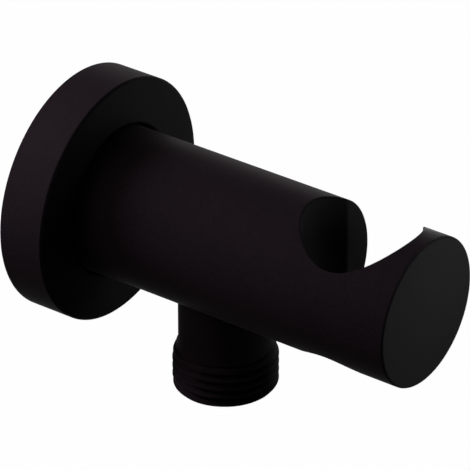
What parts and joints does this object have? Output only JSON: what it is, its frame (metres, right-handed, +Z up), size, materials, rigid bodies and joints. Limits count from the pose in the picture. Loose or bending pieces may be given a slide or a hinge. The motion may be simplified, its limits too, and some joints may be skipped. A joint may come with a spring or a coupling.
{
  "type": "wall outlet elbow",
  "caption": "Round wall outlet elbow with a cover rose, a threaded hose outlet below and, near its end, a slotted seat across the bar that holds a hand shower.",
  "frame": {"origin": "on the bar's axis, at the wall plane on which the rose's rear rim sits", "axes": "+Z up, +Y into the wall, so the bar stands out along -Y; +X to the right for someone who faces the wall, the side that the hose slot opens to"},
  "size_m": [0.05, 0.082, 0.0577],
  "materials": {
    "black_coat": "matt black coat on brass",
    "ring_rubber": "matt"
  },
  "bodies": {
    "root": {"bar_body": "black_coat", "outlet_nipple": "black_coat", "rose_seal_ring": "ring_rubber", "wall_rose": "black_coat"}
  },
  "joints": []
}
